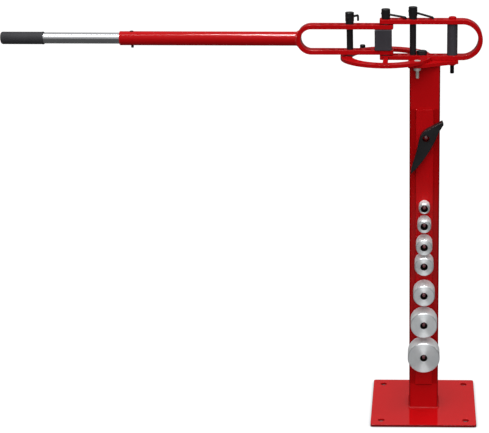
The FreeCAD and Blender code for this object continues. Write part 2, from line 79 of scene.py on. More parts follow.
# %% [markdown]
# ## The studio
# Nodes are wired the same way everywhere, so two small helpers come first: one adds a node
# and fills in its sockets, the other links two sockets. A socket is given by its name or its
# number. Two more take a vector apart and drop the sign of a number, which makes left and
# right alike.

# %% Helpers for node trees
white = (1.0, 1.0, 1.0, 1.0)


def add_node(tree, kind, values=None, **settings):
    node = tree.nodes.new(kind)
    for key, value in settings.items():
        setattr(node, key, value)
    for socket, value in (values or {}).items():
        node.inputs[socket].default_value = value
    return node


def link(tree, source, output, target, socket):
    tree.links.new(source.outputs[output], target.inputs[socket])


def split(tree, source, output):
    parts = add_node(tree, "ShaderNodeSeparateXYZ")
    link(tree, source, output, parts, 0)
    return parts


def without_sign(tree, source, output):
    number = add_node(tree, "ShaderNodeMath", operation="ABSOLUTE")
    link(tree, source, output, number, 0)
    return number


# %% [markdown]
# The room is a studio with one large screen overhead. It is brightest above and a little in
# front of the machine, and it grows dim to both sides, behind and below. One level of it
# falls on the machine as light. Another level is what polished metal mirrors, and its dim
# parts give the metal its dark streaks.

# %% Levels of the room
world = bpy.data.worlds.new("studio_room")
bpy.context.scene.world = world
world.use_nodes = True
room = world.node_tree
room.nodes.clear()
direction = split(room, add_node(room, "ShaderNodeTexCoord"), "Generated")
both_sides = add_node(room, "ShaderNodeCombineXYZ")
link(room, without_sign(room, direction, "X"), 0, both_sides, "X")
link(room, direction, "Y", both_sides, "Y")
link(room, direction, "Z", both_sides, "Z")


def room_level(brightest_way, nearness, level, interpolation):
    """Climb from level[0] to level[1] as a direction nears the brightest one."""
    towards = add_node(room, "ShaderNodeVectorMath", operation="DOT_PRODUCT",
                       values={1: brightest_way})
    climb = add_node(room, "ShaderNodeMapRange", interpolation_type=interpolation,
                     values={"From Min": nearness[0], "From Max": nearness[1],
                             "To Min": level[0], "To Max": level[1]})
    link(room, both_sides, 0, towards, 0)
    link(room, towards, "Value", climb, "Value")
    return climb


mirror_level = room_level((-1.0, -0.3, 0.9), (-0.2, 0.85), (0.1, 1.0), "SMOOTHSTEP")
light_level = room_level((-0.8, -0.4, 0.9), (-0.2, 0.9), (0.08, 2.7), "LINEAR")
print("brightest overhead light:", light_level.inputs["To Max"].default_value)

# %% [markdown]
# Where the camera looks past the machine, the room is plain white. The Light Path node tells
# the rays apart: rays from the eye, from a mirror or through glass see the room, and all
# other rays only carry its light.

# %% World
path = add_node(room, "ShaderNodeLightPath")
straight_or_through = add_node(room, "ShaderNodeMath", operation="MAXIMUM")
sees_room = add_node(room, "ShaderNodeMath", operation="MAXIMUM")
link(room, path, "Is Camera Ray", straight_or_through, 0)
link(room, path, "Is Transmission Ray", straight_or_through, 1)
link(room, straight_or_through, 0, sees_room, 0)
link(room, path, "Is Glossy Ray", sees_room, 1)
seen_level = add_node(room, "ShaderNodeMix", data_type="FLOAT", values={"B": 1.0})
link(room, path, "Is Camera Ray", seen_level, "Factor")
link(room, mirror_level, "Result", seen_level, "A")
pick = add_node(room, "ShaderNodeMixShader")
link(room, sees_room, 0, pick, 0)
for socket, level in ((1, light_level), (2, seen_level)):
    glowing_room = add_node(room, "ShaderNodeBackground", values={"Color": white})
    link(room, level, "Result", glowing_room, "Strength")
    link(room, glowing_room, 0, pick, socket)
link(room, pick, 0, add_node(room, "ShaderNodeOutputWorld"), "Surface")
print("world nodes:", len(room.nodes))

# %% [markdown]
# The room gives all the even light. Two long soft lamps show only in glossy surfaces. One
# hangs high up in front of the machine, for the bright arcs on the dies. The other is a
# narrow strip close above the handle, and draws the streak along it and the edges of the
# bars. Its beam is kept narrow, so that it leaves the dies alone.

# %% Lamps
def add_soft_lamp(name, place, aim, width, height, watts, spread):
    data = bpy.data.lights.new(name, "AREA")
    data.shape = "RECTANGLE"
    data.size, data.size_y = width, height
    data.energy = watts
    data.spread = math.radians(spread)
    lamp = bpy.data.objects.new(name, data)
    bpy.context.scene.collection.objects.link(lamp)
    lamp.location = place
    lamp.rotation_euler = (Vector(aim) - Vector(place)).to_track_quat("-Z", "Y").to_euler()
    lamp.visible_diffuse = lamp.visible_camera = False
    return lamp


overhead = add_soft_lamp("overhead_lamp", (-0.35, -1.05, 3.3), aim=(-0.35, 0.0, 0.93),
                         width=3.4, height=0.9, watts=70.0, spread=180.0)
strip_lamp = add_soft_lamp("strip_lamp", (-0.33, -0.125, 1.27), aim=(-0.28, 0.0, 0.93),
                           width=0.92, height=0.10, watts=1.5, spread=32.0)
print("lamps:", overhead.name, strip_lamp.name)

# %% [markdown]
# The floor is one large sheet, and part of the stage. It lies under the plate and meets the
# room outside the picture.

# %% Floor
floor_half_side = 8.0
sheet = bmesh.new()
bmesh.ops.create_grid(sheet, x_segments=1, y_segments=1, size=floor_half_side)
floor_mesh = bpy.data.meshes.new("floor")
sheet.to_mesh(floor_mesh)
sheet.free()
floor = bpy.data.objects.new("floor", floor_mesh)
bpy.context.scene.collection.objects.link(floor)
print("floor size in metres:", tuple(round(v, 1) for v in floor.dimensions))

# %% [markdown]
# Masks say where on a surface something happens. A ramp turns a distance into a mask with a
# soft edge, and masks that must all hold are multiplied. The base plate is square, so the
# larger of the distances along X and Y tells how near a place is to its edge.

# %% Helpers for masks
def times(tree, *masks):
    """Multiply masks, each given as a node; the first output of each is read."""
    product = masks[0]
    for mask in masks[1:]:
        step = add_node(tree, "ShaderNodeMath", operation="MULTIPLY")
        link(tree, product, 0, step, 0)
        link(tree, mask, 0, step, 1)
        product = step
    return product


def ramp(tree, source, output, start, end):
    """A mask that climbs from 0 at start to 1 at end."""
    node = add_node(tree, "ShaderNodeMapRange", values={"From Min": start, "From Max": end})
    link(tree, source, output, node, "Value")
    return node


def furthest_across(tree, place):
    """The larger of the distances along X and along Y from the machine's middle."""
    spot = split(tree, place, "Object")
    furthest = add_node(tree, "ShaderNodeMath", operation="MAXIMUM")
    link(tree, without_sign(tree, spot, "X"), 0, furthest, 0)
    link(tree, without_sign(tree, spot, "Y"), 0, furthest, 1)
    return furthest


# %% [markdown]
# The floor is matt, and glows for the camera alone, so that it meets the white room without
# a line. The glow fades where the machine stands close over it and stops under the plate:
# this is a painted shadow of the machine, added to the floor's own faint shadow.

# %% Floor finish, as the eye sees it
plate_edge = 0.127
floor_finish = bpy.data.materials.new("pale_floor")
floor_finish.use_nodes = True
tree = floor_finish.node_tree
tree.nodes.clear()
path = add_node(tree, "ShaderNodeLightPath")
place = add_node(tree, "ShaderNodeTexCoord")
matt = add_node(tree, "ShaderNodeBsdfDiffuse", values={"Color": (0.12, 0.12, 0.12, 1.0)})
# Painted shadow: the glow fades with the ambient occlusion close to the machine.
openness = add_node(tree, "ShaderNodeAmbientOcclusion", values={"Distance": 0.018}, samples=16)
glow_with_painted_shadow = add_node(tree, "ShaderNodeMapRange",
                 values={"From Min": 0.4, "From Max": 0.95, "To Min": 0.45, "To Max": 0.93})
link(tree, openness, "AO", glow_with_painted_shadow, "Value")
# Painted shadow: the floor gets no glow under the plate.
beyond_plate = ramp(tree, furthest_across(tree, place), 0, plate_edge - 0.003, plate_edge)
glow = add_node(tree, "ShaderNodeEmission", values={"Color": white})
link(tree, times(tree, path, glow_with_painted_shadow, beyond_plate), 0, glow, "Strength")
seen = add_node(tree, "ShaderNodeAddShader")
link(tree, matt, 0, seen, 0)
link(tree, glow, 0, seen, 1)
print("floor glows from", round(plate_edge * 1000), "mm outwards")

# %% [markdown]
# Mirrors see the floor another way. A white card lies on it in front of the machine, a slim
# oval with soft edges, and the rest is dim. The turned faces of the dies pick it up as two
# bright fans.

# %% Floor finish, as mirrors see it
card_centre, card_slimness = (0.0, -1.1, 0.0), 2.6
squeezed = add_node(tree, "ShaderNodeVectorMath", operation="MULTIPLY",
                    values={1: (card_slimness, 1.0, 1.0)})
from_card = add_node(tree, "ShaderNodeVectorMath", operation="DISTANCE",
                     values={1: card_centre})
card_level = add_node(tree, "ShaderNodeMapRange", interpolation_type="SMOOTHSTEP",
                      values={"From Min": 0.45, "From Max": 1.0, "To Min": 0.84, "To Max": 0.10})
mirrored = add_node(tree, "ShaderNodeEmission", values={"Color": white})
link(tree, place, "Object", squeezed, 0)
link(tree, squeezed, 0, from_card, 0)
link(tree, from_card, "Value", card_level, "Value")
link(tree, card_level, "Result", mirrored, "Strength")
pick = add_node(tree, "ShaderNodeMixShader")
link(tree, path, "Is Glossy Ray", pick, 0)
link(tree, seen, 0, pick, 1)
link(tree, mirrored, 0, pick, 2)
link(tree, pick, 0, add_node(tree, "ShaderNodeOutputMaterial"), "Surface")
floor_mesh.materials.append(floor_finish)
print("floor finish nodes:", len(tree.nodes))

# %% [markdown]
# ## Surface effects
# Three effects are used by more than one finish, so each is a node group with named sockets,
# built once. The first gives a colour slow, soft clouds, because no painted or blackened
# surface has quite the same tone all over.

# %% Group: cloudy tone
def new_group(name, inputs, outputs):
    group = bpy.data.node_groups.new(name, "ShaderNodeTree")
    for label, kind, value in inputs:
        socket = group.interface.new_socket(label, in_out="INPUT", socket_type=kind)
        if value is not None:
            socket.default_value = value
    for label, kind in outputs:
        group.interface.new_socket(label, in_out="OUTPUT", socket_type=kind)
    return group, add_node(group, "NodeGroupInput"), add_node(group, "NodeGroupOutput")


cloudy_tone, into, out = new_group(
    "cloudy_tone",
    [("Vector", "NodeSocketVector", None), ("Dark Colour", "NodeSocketColor", None),
     ("Light Colour", "NodeSocketColor", None), ("Scale", "NodeSocketFloat", 6.0)],
    [("Colour", "NodeSocketColor")])
clouds = add_node(cloudy_tone, "ShaderNodeTexNoise", values={"Detail": 4.0, "Roughness": 0.55})
contrast = add_node(cloudy_tone, "ShaderNodeMapRange", values={"From Min": 0.3, "From Max": 0.7})
blend = add_node(cloudy_tone, "ShaderNodeMix", data_type="RGBA")
link(cloudy_tone, into, "Vector", clouds, "Vector")
link(cloudy_tone, into, "Scale", clouds, "Scale")
link(cloudy_tone, clouds, "Fac", contrast, "Value")
link(cloudy_tone, contrast, "Result", blend, "Factor")
link(cloudy_tone, into, "Dark Colour", blend, 6)
link(cloudy_tone, into, "Light Colour", blend, 7)
link(cloudy_tone, blend, 2, out, "Colour")
print("group:", cloudy_tone.name)

# %% [markdown]
# The second is the fine skin of a surface. Sprayed paint dries with a faint orange peel,
# rubber comes out of its mould with a grain, and blackened steel feels like fine paper. One
# noise makes the bumps, and a slower one lets the gloss wander between two values.

# %% Group: fine skin
fine_skin, into, out = new_group(
    "fine_skin",
    [("Vector", "NodeSocketVector", None), ("Grain Scale", "NodeSocketFloat", 500.0),
     ("Patch Scale", "NodeSocketFloat", 9.0), ("Glossiest", "NodeSocketFloat", 0.1),
     ("Dullest", "NodeSocketFloat", 0.2)],
    [("Roughness", "NodeSocketFloat"), ("Height", "NodeSocketFloat")])
grain = add_node(fine_skin, "ShaderNodeTexNoise", values={"Detail": 1.5, "Roughness": 0.4})
patches = add_node(fine_skin, "ShaderNodeTexNoise", values={"Detail": 3.0, "Roughness": 0.6})
wander = add_node(fine_skin, "ShaderNodeMapRange", values={"From Min": 0.3, "From Max": 0.7})
link(fine_skin, into, "Vector", grain, "Vector")
link(fine_skin, into, "Grain Scale", grain, "Scale")
link(fine_skin, into, "Vector", patches, "Vector")
link(fine_skin, into, "Patch Scale", patches, "Scale")
link(fine_skin, patches, "Fac", wander, "Value")
link(fine_skin, into, "Glossiest", wander, "To Min")
link(fine_skin, into, "Dullest", wander, "To Max")
link(fine_skin, wander, "Result", out, "Roughness")
link(fine_skin, grain, "Fac", out, "Height")
print("group:", fine_skin.name)

# %% [markdown]
# The third is the mark of a lathe. A turning tool leaves rings around the axis, some deeper
# than others. A piece that was turned stores how far each point lies from its axis and along
# it, and a noise that reads the sum gives rings of uneven depth on faces and rims alike.

# %% Group: turned rings
turned_rings, into, out = new_group(
    "turned_rings",
    [("From Axis", "NodeSocketFloat", 0.0), ("Along Axis", "NodeSocketFloat", 0.0),
     ("Rings Per Metre", "NodeSocketFloat", 2500.0), ("Smooth", "NodeSocketFloat", 0.2),
     ("Coarse", "NodeSocketFloat", 0.4)],
    [("Height", "NodeSocketFloat"), ("Roughness", "NodeSocketFloat")])
tool_path = add_node(turned_rings, "ShaderNodeMath", operation="ADD")
rings_passed = add_node(turned_rings, "ShaderNodeMath", operation="MULTIPLY")
rings = add_node(turned_rings, "ShaderNodeTexNoise", noise_dimensions="1D",
                 values={"Scale": 1.0, "Detail": 2.0})
bands = add_node(turned_rings, "ShaderNodeMapRange", values={"From Min": 0.3, "From Max": 0.7})
link(turned_rings, into, "From Axis", tool_path, 0)
link(turned_rings, into, "Along Axis", tool_path, 1)
link(turned_rings, tool_path, 0, rings_passed, 0)
link(turned_rings, into, "Rings Per Metre", rings_passed, 1)
link(turned_rings, rings_passed, 0, rings, "W")
link(turned_rings, rings, "Fac", bands, "Value")
link(turned_rings, into, "Smooth", bands, "To Min")
link(turned_rings, into, "Coarse", bands, "To Max")
link(turned_rings, rings, "Fac", out, "Height")
link(turned_rings, bands, "Result", out, "Roughness")
print("group:", turned_rings.name)

# %% [markdown]
# ## Finishes
# A finish starts from the Principled shader. Numbers that are the same all over are set on
# its own sockets; only what changes over the surface is linked.

# %% Helpers for finishes
def new_finish(name, **constants):
    material = bpy.data.materials.new(name)
    material.use_nodes = True
    shader = material.node_tree.nodes["Principled BSDF"]
    for socket, value in constants.items():
        shader.inputs[socket.replace("_", " ")].default_value = value
    return material, material.node_tree, shader


def use_group(tree, group, **values):
    node = add_node(tree, "ShaderNodeGroup", node_tree=group)
    for socket, value in values.items():
        node.inputs[socket.replace("_", " ")].default_value = value
    return node


def add_clouds(tree, shader, dark, light, clouds):
    """Base colour that drifts between two tones, on Object coordinates."""
    place = add_node(tree, "ShaderNodeTexCoord")
    tone = use_group(tree, cloudy_tone, Dark_Colour=dark, Light_Colour=light, Scale=clouds)
    link(tree, place, "Object", tone, "Vector")
    link(tree, tone, "Colour", shader, "Base Color")


def add_bump(tree, source, output, shader, strength, distance):
    bump = add_node(tree, "ShaderNodeBump", values={"Strength": strength, "Distance": distance})
    link(tree, source, output, bump, "Height")
    link(tree, bump, "Normal", shader, "Normal")


def skin_finish(name, dark, light, clouds, grain, gloss, bump, **constants):
    """Cloudy colour and fine skin. clouds and grain are noise scales per metre."""
    material, tree, shader = new_finish(name, **constants)
    add_clouds(tree, shader, dark, light, clouds)
    place = add_node(tree, "ShaderNodeTexCoord")
    skin = use_group(tree, fine_skin, Grain_Scale=grain, Glossiest=gloss[0], Dullest=gloss[1])
    link(tree, place, "Object", skin, "Vector")
    link(tree, skin, "Roughness", shader, "Roughness")
    add_bump(tree, skin, "Height", shader, *bump)
    return material


def tint_where(material, mask, colour):
    """Mix a second colour over the finish where the mask is 1."""
    tree = material.node_tree
    shader = tree.nodes["Principled BSDF"]
    mix = add_node(tree, "ShaderNodeMix", data_type="RGBA", values={7: colour})
    tree.links.new(shader.inputs["Base Color"].links[0].from_socket, mix.inputs[6])
    link(tree, mask, 0, mix, "Factor")
    link(tree, mix, 2, shader, "Base Color")


# %% [markdown]
# The frame is sprayed with deep red enamel. It is smooth and mirrors sharply but weakly, so
# that the colour stays deep, and only a faint orange peel blurs it. On the round drops of
# the welds it catches more light.

# %% Red enamel
def enamel(name, lightness, mirror):
    """Above 1, lightness gives a lighter copy of the red, as painted light; mirror is the Specular
    IOR Level.
    """
    return skin_finish(
        name, dark=(0.44 * lightness, 0.0030, 0.0042, 1.0),
        light=(0.49 * lightness, 0.0036, 0.0056, 1.0), clouds=5.0, grain=420.0,
        gloss=(0.05, 0.10), bump=(0.06, 0.0002), Specular_IOR_Level=mirror)


finishes = {"red_paint": enamel("red_enamel", lightness=1.0, mirror=0.1)}
finishes["weld_paint"] = enamel("red_enamel_on_welds", lightness=1.0, mirror=0.5)
print("finishes:", finishes["red_paint"].name, finishes["weld_paint"].name)

# %% [markdown]
# The base plate is painted a lighter red, as painted light, and it mirrors the post. Its
# walls are painted darker, as painted shade: darkest along its outer edges close to the
# floor, and a little darker in its holes. The height of the normal tells wall from face,
# and the place tells edge from hole.

# %% Enamel on the base plate
# Painted light: the plate's red is a lighter copy, for its upward face in the light.
plate_paint = enamel("red_enamel_on_plate", lightness=1.15, mirror=0.4)
tree = plate_paint.node_tree
normal = split(tree, add_node(tree, "ShaderNodeNewGeometry"), "Normal")
is_wall = ramp(tree, without_sign(tree, normal, "Z"), 0, 0.95, 0.5)
furthest = furthest_across(tree, add_node(tree, "ShaderNodeTexCoord"))
near_edge = ramp(tree, furthest, 0, plate_edge - 0.008, plate_edge - 0.006)
# Painted shade on the plate's walls, and darker painted shade on its outer edges.
tint_where(plate_paint, is_wall, (0.45, 0.001, 0.002, 1.0))
tint_where(plate_paint, times(tree, is_wall, near_edge), (0.17, 0.0015, 0.002, 1.0))
finishes["plate_paint"] = plate_paint
print("finish:", plate_paint.name)

# %% [markdown]
# The post is painted a darker red as painted shade: in the two bands beside the raised
# strip, in a line under its lower end, and along its own round corners. The masks read the
# place on the post, and only the side that faces forward takes them.

# %% Masks on the post
post_paint = enamel("red_enamel_on_post", lightness=1.0, mirror=0.1)
tree = post_paint.node_tree
normal = split(tree, add_node(tree, "ShaderNodeNewGeometry"), "Normal")
faces_front = ramp(tree, normal, "Y", -0.1, -0.5)
spot = split(tree, add_node(tree, "ShaderNodeTexCoord"), "Object")
from_middle = without_sign(tree, spot, "X")
strip_low, strip_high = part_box("holder_strip")
post_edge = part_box("post_tube")[1].x
soft, line = 0.002, 0.001
# Painted shade beside the strip, a painted shadow under its end, and painted shade along the
# corners.
shade_beside_strip = times(
    tree, faces_front, ramp(tree, from_middle, 0, strip_high.x - 0.0005, strip_high.x + 0.0015),
    ramp(tree, spot, "Z", strip_low.z - soft, strip_low.z + soft),
    ramp(tree, spot, "Z", strip_high.z + soft, strip_high.z - soft))
shadow_under_strip = times(
    tree, faces_front, ramp(tree, from_middle, 0, strip_high.x + line, strip_high.x - line),
    ramp(tree, spot, "Z", strip_low.z - 5 * line, strip_low.z - line),
    ramp(tree, spot, "Z", strip_low.z + 3 * line, strip_low.z + line))
shade_along_corner = times(
    tree, faces_front, ramp(tree, from_middle, 0, post_edge - 0.0035, post_edge - 0.001))
print("strip on the post, in metres:", round(strip_low.z, 4), "to", round(strip_high.z, 4))

# %% [markdown]
# The painted shade is a darker red. The line under the strip is a painted shadow of the
# strip's end, almost black red.

# %% Enamel on the post
# Each mask paints its shade or shadow into the post's red.
for mask, colour in ((shade_beside_strip, (0.35, 0.0018, 0.0026, 1.0)),
                     (shadow_under_strip, (0.15, 0.0012, 0.0018, 1.0)),
                     (shade_along_corner, (0.20, 0.0013, 0.0020, 1.0))):
    tint_where(post_paint, mask, colour)
finishes["post_paint"] = post_paint
print("finish:", post_paint.name)

# %% [markdown]
# The pegs are sprayed too, but their paint is darker and duller than the frame's: a brownish
# red, mottled with paler pink.

# %% Dull peg paint
# A darker, duller red than the frame's, mottled with paler pink.
finishes["worn_peg"] = skin_finish(
    "dull_mottled_peg_paint", dark=(0.055, 0.010, 0.013, 1.0), light=(0.16, 0.050, 0.058, 1.0),
    clouds=160.0, grain=900.0, gloss=(0.35, 0.55), bump=(0.15, 0.0002), Specular_IOR_Level=0.4)
print("finish:", finishes["worn_peg"].name)

# %% [markdown]
# Pins, hooks and blade are blackened steel: almost black, half dull, with the paper grain of
# the bath. The block and the spacer are painted a thin, greyer black that hardly shines.
# Zinc bolts are pale and mottled. The grip is moulded rubber.

# %% Black steel, black paint, zinc and rubber
finishes["black_steel"] = skin_finish(
    "blackened_steel", dark=(0.008, 0.008, 0.0088, 1.0), light=(0.015, 0.015, 0.017, 1.0),
    clouds=30.0, grain=1400.0, gloss=(0.30, 0.44), bump=(0.12, 0.0002), Specular_IOR_Level=0.2)
finishes["black_paint"] = skin_finish(
    "thin_black_paint", dark=(0.042, 0.041, 0.048, 1.0), light=(0.057, 0.056, 0.065, 1.0),
    clouds=22.0, grain=800.0, gloss=(0.28, 0.40), bump=(0.14, 0.0003), Specular_IOR_Level=0.03)
finishes["zinc_steel"] = skin_finish(
    "zinc_plating", dark=(0.62, 0.60, 0.57, 1.0), light=(0.82, 0.79, 0.75, 1.0),
    clouds=260.0, grain=2200.0, gloss=(0.32, 0.50), bump=(0.10, 0.0001), Metallic=0.7)
finishes["black_rubber"] = skin_finish(
    "moulded_rubber", dark=(0.033, 0.033, 0.038, 1.0), light=(0.045, 0.045, 0.051, 1.0),
    clouds=18.0, grain=1900.0, gloss=(0.50, 0.64), bump=(0.35, 0.0003), Specular_IOR_Level=0.25)
print("finishes so far:", list(finishes))

# %% [markdown]
# The inner handle tube is drawn and bright plated. Drawing leaves long faint scratches, so a
# noise is stretched two hundred times along the tube before it changes the gloss.

# %% Bright drawn tube
bright_tube, tree, shader = new_finish("bright_drawn_tube", Metallic=1.0)
add_clouds(tree, shader, dark=(0.66, 0.67, 0.69, 1.0), light=(0.76, 0.77, 0.79, 1.0), clouds=14.0)
place = add_node(tree, "ShaderNodeTexCoord")
stretch = add_node(tree, "ShaderNodeMapping", vector_type="POINT",
                   values={"Scale": (4.0, 900.0, 900.0)})
streaks = add_node(tree, "ShaderNodeTexNoise", values={"Scale": 1.0, "Detail": 3.0})
gloss = add_node(tree, "ShaderNodeMapRange",
                 values={"From Min": 0.3, "From Max": 0.7, "To Min": 0.13, "To Max": 0.26})
link(tree, place, "Object", stretch, "Vector")
link(tree, stretch, "Vector", streaks, "Vector")
link(tree, streaks, "Fac", gloss, "Value")
link(tree, gloss, "Result", shader, "Roughness")
add_bump(tree, streaks, "Fac", shader, strength=0.06, distance=0.0001)
finishes["bright_tube"] = bright_tube
print("finish:", bright_tube.name)

# %% [markdown]
# Turned steel carries the rings of the tool. The finish reads them from the distances that a
# turned piece stores on its points, under the names from_axis and along_axis.

# %% Helper: turned finish
def turned_finish(name, rings, smooth, coarse, dark, light, clouds, bump, reads, **constants):
    """rings is their number per metre, and reads names the stored distances they follow."""
    material, tree, shader = new_finish(name, **constants)
    add_clouds(tree, shader, dark, light, clouds)
    marks = use_group(tree, turned_rings, Rings_Per_Metre=rings, Smooth=smooth, Coarse=coarse)
    for distance in reads:
        stored = add_node(tree, "ShaderNodeAttribute", attribute_name=distance)
        link(tree, stored, "Fac", marks, distance.replace("_", " ").title())
    link(tree, marks, "Roughness", shader, "Roughness")
    add_bump(tree, marks, "Height", shader, *bump)
    return material, tree, shader


# %% [markdown]
# The dies are turned from bright steel. Light on a turned face gathers in two opposite fans,
# because each groove mirrors only across itself. The Anisotropic socket does this, with a
# tangent that runs around the die's axis. The tangent reads the mesh's own box, so the dies
# keep no live modifiers. The bores are painted nearly black, as painted shade inside them.

# %% Turned steel faces
die_bore, bore_flat = 0.008, 0.001
turned_steel, tree, shader = turned_finish(
    "turned_steel_face", rings=2600.0, smooth=0.34, coarse=0.50, dark=(0.82, 0.85, 0.87, 1.0),
    light=(0.90, 0.92, 0.93, 1.0), clouds=40.0, bump=(0.25, 0.0001),
    reads=("from_axis", "along_axis"), Metallic=0.9, Anisotropic=0.9, Anisotropic_Rotation=0.25)
from_axis = add_node(tree, "ShaderNodeAttribute", attribute_name="from_axis")
# Painted shade: the bore is painted nearly black.
bore_shade = ramp(tree, from_axis, "Fac", die_bore + 0.0008, die_bore + 0.0003)
tint_where(turned_steel, bore_shade, (0.03, 0.022, 0.022, 1.0))
around = add_node(tree, "ShaderNodeTangent", direction_type="RADIAL", axis="Y")
link(tree, around, "Tangent", shader, "Tangent")
finishes["turned_steel"] = turned_steel
print("finish:", turned_steel.name)

# %% [markdown]
# The rims were turned with a coarser feed. They look frosted and pale, more like matt paint
# than like a mirror, so their finish is only partly metallic.

# %% Turned rims
finishes["turned_rim"], tree, shader = turned_finish(
    "turned_steel_rim", rings=1400.0, smooth=0.42, coarse=0.56, dark=(0.80, 0.82, 0.83, 1.0),
    light=(0.90, 0.91, 0.91, 1.0), clouds=60.0, bump=(0.3, 0.0001), reads=("along_axis",),
    Metallic=0.3)
print("finish:", finishes["turned_rim"].name)

# %% [markdown]
# ## Dressing the CAD nodes
# A CAD node is made of loose triangles. A copy is joined, its flat faces are made whole, and
# a Bevel modifier rounds every sharp edge by a fraction of a millimetre. No real edge is
# perfectly sharp, and this thin round is what catches the light. The copy rides on the same
# body as its node and takes the node's place.

# %% Helpers for pieces
body_of = {node: body for body, nodes in frame["record"]["behaviour"]["bodies"].items()
           for node in nodes}
slot_of = {part["node"]: part["material_slot"] for part in frame["record"]["subparts"]}
merge_distance = 1e-6
flat_angle, sharp_angle = math.radians(0.3), math.radians(30.0)
made = []


def joined_copy(node):
    shape = bmesh.new()
    shape.from_mesh(frame["nodes"][node].data)
    bmesh.ops.remove_doubles(shape, verts=shape.verts, dist=merge_distance)
    bmesh.ops.dissolve_limit(shape, angle_limit=flat_angle, verts=shape.verts, edges=shape.edges)
    return shape


def set_piece(shape, name, body, slot, rounding=0.0, finish=None):
    """Make the piece; it has its slot's finish unless another one is named."""
    mesh = bpy.data.meshes.new(name)
    shape.to_mesh(mesh)
    shape.free()
    if "custom_normal" in mesh.attributes:
        mesh.attributes.remove(mesh.attributes["custom_normal"])
    mesh.shade_smooth()
    if not rounding:
        mesh.set_sharp_from_angle(angle=sharp_angle)
    mesh.materials.append(finishes[finish or slot])
    piece = bpy.data.objects.new(name, mesh)
    bpy.context.scene.collection.objects.link(piece)
    if rounding:
        edge = piece.modifiers.new("soft_edges", "BEVEL")
        edge.limit_method = "ANGLE"
        edge.angle_limit = sharp_angle
        edge.width = rounding
        edge.segments = 2
        edge.harden_normals = True
    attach(piece, body)
    made.append(piece)
    return piece


def dress(node, name, rounding, finish=None):
    piece = set_piece(joined_copy(node), name, body_of[node], slot_of[node], rounding, finish)
    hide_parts(node)


# %% [markdown]
# Painted steel first. The plates, the strip and both bars are thick and were ground before
# painting, so their edges are round by about a millimetre. The edges of the post and the
# ring are crisper. A fourth entry in a row names a finish that is not its slot's own.

# %% Painted plates, post and bars
for node, name, rounding, *finish in (
        ("base_plate", "painted_base_plate", 0.0009, "plate_paint"),
        ("post_tube", "painted_post", 0.0005, "post_paint"),
        ("holder_strip", "painted_holder_strip", 0.0009),
        ("top_plate", "painted_top_plate", 0.0009),
        ("frame_bar", "painted_frame_bar", 0.0010),
        ("guide_ring", "painted_guide_ring", 0.0005),
        ("fork_bar", "painted_fork_bar", 0.0010),
        ("handle_tube", "painted_handle_tube", 0.0008),
        ("die_pegs", "rubbed_die_pegs", 0.0006, "worn_peg"),
        ("wedge_peg", "rubbed_blade_peg", 0.0006, "worn_peg")):
    dress(node, name, rounding, *finish)
print("painted pieces:", [piece.name for piece in made])

# %% [markdown]
# The blackened and plated pieces are small and were turned, milled or rolled, so their edges
# are tighter. The washers are dark with oil. The nut under the spacer was sprayed together
# with the frame.

# %% Black and bright hardware
for node, name, rounding, *finish in (
        ("pivot_pin", "black_pivot_pin", 0.0002),
        ("frame_pin", "black_frame_pin", 0.0002),
        ("fork_pin", "black_fork_pin", 0.0002),
        ("pivot_pin_hook", "pivot_pin_rod", 0.0006),
        ("frame_pin_hook", "frame_pin_rod", 0.0006),
        ("fork_pin_hook", "fork_pin_rod", 0.0006),
        ("stop_pin", "black_stop_pin", 0.0002),
        ("frame_bolt", "black_frame_bolt", 0.0002),
        ("wedge_blade", "black_wedge_blade", 0.0005),
        ("lock_pin", "black_lock_pin", 0.0002),
        ("ring_nuts", "zinc_ring_nuts", 0.0002),
        ("inner_tube", "bright_inner_tube", 0.0005),
        ("pivot_washers", "oily_pivot_washers", 0.0002, "black_steel"),
        ("spin_block", "black_spin_block", 0.0003, "black_paint"),
        ("spacer_nut", "painted_spacer_nut", 0.0002, "red_paint"),
        ("spacer_tube", "black_spacer_tube", 0.0004, "black_paint")):
    dress(node, name, rounding, *finish)
print("pieces so far:", len(made))

# %% [markdown]
# ## Turned pieces
# A lathe makes a piece from its outline. Here the outline is a few points, given as distances
# along and from the axis. Spin sweeps it once round, the doubles at the seam are merged, and
# Bevel rounds the corners. Each point's distances are stored for the rings of the finish.

# %% Helpers: turn an outline
def turn_outline(outline, start, axis, steps, rounding, closed=True):
    shape = bmesh.new()
    axis = Vector(axis)
    outward = axis.orthogonal().normalized()
    points = [shape.verts.new(start + axis * along + outward * out) for along, out in outline]
    for first, second in zip(points, points[1:] + points[:1] if closed else points[1:]):
        shape.edges.new((first, second))
    bmesh.ops.spin(shape, geom=shape.verts[:] + shape.edges[:], cent=start, axis=axis,
                   angle=math.tau, steps=steps, use_merge=True)
    bmesh.ops.remove_doubles(shape, verts=shape.verts, dist=merge_distance)
    bmesh.ops.recalc_face_normals(shape, faces=shape.faces)
    corner_angle = math.radians(25.0)
    corners = [e for e in shape.edges if e.is_manifold and e.calc_face_angle() > corner_angle]
    bmesh.ops.bevel(shape, geom=corners, offset=rounding, segments=3, profile=0.5,
                    affect="EDGES", material=-1)
    return shape


def store_axis_distances(mesh, start, axis):
    axis = Vector(axis)
    from_axis = mesh.attributes.new("from_axis", "FLOAT", "POINT")
    along_axis = mesh.attributes.new("along_axis", "FLOAT", "POINT")
    for point in mesh.vertices:
        reach = point.co - start
        along = reach.dot(axis)
        along_axis.data[point.index].value = along
        from_axis.data[point.index].value = (reach - axis * along).length


# %% [markdown]
# Seven dies hang on the post, from 25 to 76 mm across. Each is a plain disc with a bore, and
# with small flats turned on its edges. Front and back are alike, so the outline runs from
# the bore to the rim and comes back mirrored. Extra points close to each corner hold the
# faces flat where the bevel shades them.

